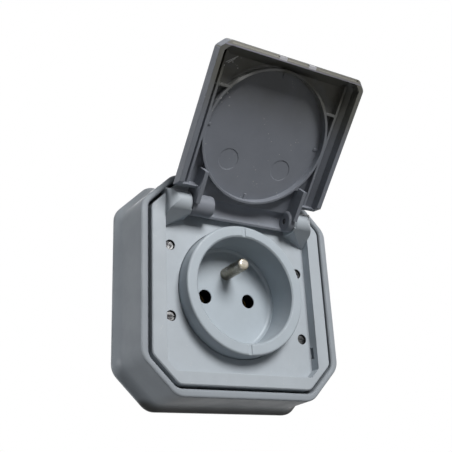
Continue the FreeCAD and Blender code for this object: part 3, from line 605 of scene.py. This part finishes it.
def metal(name, dull, bright, smooth, rough, rubbed=None):
    """Metal that is dull in places and bright in others, faceted by its crystals."""
    material, tree, shader = new_material(name)
    place = add(tree, "ShaderNodeTexCoord").outputs["Object"]
    facets = add(tree, "ShaderNodeTexVoronoi", Vector=place, Scale=CRYSTALS_PER_METRE)
    facet = add(tree, "ShaderNodeSeparateColor", Color=facets.outputs["Color"])
    grain = place_group(tree, grain_group, Grains_per_metre=5200.0, Clouds_per_metre=320.0)
    edge = place_group(tree, edge_group, Radius=0.12 * MM, Clouds=grain.outputs["Clouds"])
    shine = times(tree, facet.outputs["Red"], grain.outputs["Clouds"])
    shine = sums(tree, "MAXIMUM", shine, edge.outputs["Wear"])
    if rubbed:
        along = add(tree, "ShaderNodeSeparateXYZ", Vector=place).outputs["Y"]
        shine = sums(tree, "MAXIMUM", shine, ramp(tree, along, *rubbed))
    plug(tree, shader, "Base Color", blend(tree, shine, dull, bright))
    plug(tree, shader, "Roughness", ramp(tree, shine, 0.0, 1.0, rough, smooth))
    shader.inputs["Metallic"].default_value = 1.0
    bump = add(tree, "ShaderNodeBump", Strength=0.08, Distance=0.03 * MM)
    plug(tree, bump, "Height", grain.outputs["Height"])
    plug(tree, bump, "Normal", edge.outputs["Normal"])
    plug(tree, shader, "Normal", bump.outputs["Normal"])
    return material


print("Recipe for metal ready")

# %% [markdown]
# ## The four metals
#
# The metal parts differ in what the surface has been through. The earth pin is a
# turned brass pin with a dull nickel coat, bright again where its tail is riveted
# over. The contacts are raw pressed brass, the frame is zinc plated sheet, and the
# screws are polished steel, which mirrors the lamps. Its dull colour is nearly
# black, as painted shade of the dark recess round each screw. One metal for all
# would hide that.

# %% Metals
RIVETED_TAIL = (-2.6 * MM, -1.2 * MM)
finishes["pin_brass"] = metal(
    "nickelled brass pin", grey(134, 129, 115), grey(200, 194, 185),
    smooth=0.18, rough=0.36, rubbed=RIVETED_TAIL
)
finishes["contact_brass"] = metal(
    "pressed brass", grey(122, 98, 58), grey(176, 146, 92), smooth=0.3, rough=0.5
)
finishes["plated_steel"] = metal(
    "zinc plated sheet", grey(138, 142, 146), grey(196, 199, 202), smooth=0.28, rough=0.46
)
# Painted shade: the dull steel is nearly black, so the screws look dark in their recesses.
finishes["screw_steel"] = metal(
    "bright screw steel", grey(44, 44, 46), grey(205, 205, 205), smooth=0.14, rough=0.34
)
print(len(finishes), "finishes in all")

# %% [markdown]
# ## Give every node its finish
#
# The record names a material slot for each node, and each slot has a finish of
# the same name above. The finishes could be set one by one, but a table shows at a
# glance what is made of what. The mesh stays untouched: only the material in the
# object's slots changes.

# %% Dress the nodes
slot_of_node = {
    "surround": "shell_plastic",
    "face_plate": "plate_plastic",
    "lid": "lid_plastic",
    "socket_well": "insert_plastic",
    "well_floor": "insert_plastic",
    "mechanism_base": "base_plastic",
    "mounting_ring": "base_plastic",
    "support_frame": "plated_steel",
    "earth_pin": "pin_brass",
    "earth_strap": "contact_brass",
    "contact_left": "contact_brass",
    "contact_right": "contact_brass",
    "contact_spring_left": "plated_steel",
    "contact_spring_right": "plated_steel",
    "terminal_left": "contact_brass",
    "terminal_right": "contact_brass",
    "terminal_earth": "contact_brass",
    "terminal_screws": "screw_steel",
    "cover_screws": "screw_steel",
    "base_screws": "screw_steel",
    "frame_screws": "screw_steel",
    "hinge_pins": "screw_steel",
    "wall_gasket": "seal_rubber",
    "plate_gasket": "seal_rubber",
    "seat_gasket": "seal_rubber",
}
for name, node in nodes.items():
    finish = finishes[slot_of_node[name]]
    for slot in node.material_slots:
        slot.material = finish
    if not node.material_slots:
        node.data.materials.append(finish)
print(len(slot_of_node), "nodes dressed")

# %% [markdown]
# ## Floor
#
# The socket hangs in the air as it would on its wall, with a plain pale floor well
# below it. The floor could end at a horizon, but a hard line behind an object draws
# the eye. So its own light takes over with distance, until it is as white as the
# world behind. Only the camera and reflections see that light: the Light Path node
# tells which ray asks, and for all others the floor is a plain dark grey that
# throws little light up at the object.

# %% Floor
def floor_mesh(half, height):
    """A square floor at that height."""
    mesh = bpy.data.meshes.new("pale floor")
    corners = [(x * half, y * half, height) for x, y in ((-1, -1), (1, -1), (1, 1), (-1, 1))]
    mesh.from_pydata(corners, [], [(0, 1, 2, 3)])
    floor = bpy.data.objects.new("pale floor", mesh)
    bpy.context.scene.collection.objects.link(floor)
    return floor


WHITE = (1.0, 1.0, 1.0, 1.0)
FADE_START, FADE_END = 0.35, 1.0
OWN_GLOW = 0.4
floor = floor_mesh(half=6.0, height=-0.25)
material, tree, shader = new_material("pale studio floor")
cloud = add(tree, "ShaderNodeTexNoise", Scale=30.0, Detail=3.0).outputs["Fac"]
pale = blend(tree, cloud, grey(205, 205, 204), grey(212, 212, 211))
rays = add(tree, "ShaderNodeLightPath")
seen = sums(tree, "MAXIMUM", rays.outputs["Is Camera Ray"], rays.outputs["Is Glossy Ray"])
distance = add(tree, "ShaderNodeVectorMath", {"operation": "LENGTH"})
plug(tree, distance, "0", add(tree, "ShaderNodeTexCoord").outputs["Object"])
fade = ramp(tree, distance.outputs["Value"], FADE_START, FADE_END)
near = blend(tree, fade, pale, grey(0, 0, 0))
plug(tree, shader, "Base Color", blend(tree, seen, grey(105, 105, 105), near))
plug(tree, shader, "Emission Color", blend(tree, fade, pale, WHITE))
glow = sums(tree, "MULTIPLY_ADD", fade, 1.0 - OWN_GLOW, OWN_GLOW)
plug(tree, shader, "Emission Strength", times(tree, seen, glow))
plug(tree, shader, "Roughness", 0.9)
plug(tree, shader, "Specular IOR Level", 0.0)
floor.data.materials.append(material)
print("Floor at", round(floor.data.vertices[0].co.z, 3), "m")

# %% [markdown]
# ## World
#
# Round a real socket there is always some stray light, which fills the shadows. A
# bright world would give that too, but it would also wash out the dark inside of
# the lid. So the world is a quiet, slightly blue grey for the object's light, and
# white for the camera, for reflections and through glass, again by Light Path.

# %% World
world = bpy.data.worlds.new("studio")
bpy.context.scene.world = world
world.use_nodes = True
tree = world.node_tree
tree.nodes.clear()
rays = add(tree, "ShaderNodeLightPath")
seen = sums(tree, "MAXIMUM", rays.outputs["Is Camera Ray"], rays.outputs["Is Glossy Ray"])
seen = sums(tree, "MAXIMUM", seen, rays.outputs["Is Transmission Ray"])
quiet = add(tree, "ShaderNodeBackground", Color=(0.93, 0.96, 1.0, 1.0), Strength=0.045)
white = add(tree, "ShaderNodeBackground", Color=WHITE, Strength=1.0)
either = add(tree, "ShaderNodeMixShader", Fac=seen)
plug(tree, either, "1", quiet.outputs[0])
plug(tree, either, "2", white.outputs[0])
add(tree, "ShaderNodeOutputWorld", Surface=either.outputs[0])
print("World ready, with", len(tree.nodes), "nodes")

# %% [markdown]
# ## Lamps
#
# The shade of the pin in the well tells where the light stands: in front, about 30
# degrees up and a little to the right. Its soft edge tells the lamp's size. A sun
# lamp would give that direction, but a square lamp near the part also gives the
# softness. From there the inside of the lid, which leans forward, stays dark. A
# weaker lamp behind at the left shows the side of the housing, and one behind at
# the right parts the lid from the background.

# %% Lamps
def lamp(name, place, aim, side, power, colour=(1.0, 1.0, 1.0)):
    """A square soft lamp that stands at a place and points at another."""
    light = bpy.data.lights.new(name, "AREA")
    light.shape = "SQUARE"
    light.size = side
    light.energy = power
    light.color = colour
    lamp_object = bpy.data.objects.new(name, light)
    lamp_object.location = place
    towards = Vector(aim) - Vector(place)
    lamp_object.rotation_euler = towards.to_track_quat("-Z", "Y").to_euler()
    bpy.context.scene.collection.objects.link(lamp_object)
    return lamp_object


middle = (0.0, -0.02, 0.0)
lamps = [
    lamp("key lamp", (0.06, -0.885, 0.497), middle, side=0.4, power=10.8),
    lamp("back lamp", (-0.9, 0.33, -0.12), middle, side=0.24, power=3.1, colour=(0.95, 0.97, 1.0)),
    lamp("rear lamp", (0.35, 0.8, 0.45), middle, side=0.4, power=2.4),
]
print(len(lamps), "lamps")

# %% [markdown]
# ## Camera
#
# The camera stands low and to the left, close enough for a strong perspective. It
# could be turned by hand until the outlines match, but that moves one error to
# another place. So its place, turn and lens were solved together from the outline
# of the housing, the ring of the well and the pin.

# %% Camera
lens = bpy.data.cameras.new("camera")
lens.sensor_width = 36.0
lens.lens = 55.38
lens.clip_start = 0.01
lens.clip_end = 50.0
TURN = (111.689, 2.476, -29.853)
camera = bpy.data.objects.new("camera", lens)
camera.location = (-0.13151, -0.23068, -0.07240)
camera.rotation_euler = Euler([math.radians(angle) for angle in TURN], "XYZ")
bpy.context.scene.collection.objects.link(camera)
bpy.context.scene.camera = camera
bpy.context.scene.view_settings.view_transform = "Standard"
print("Camera", [round(v, 4) for v in camera.location])
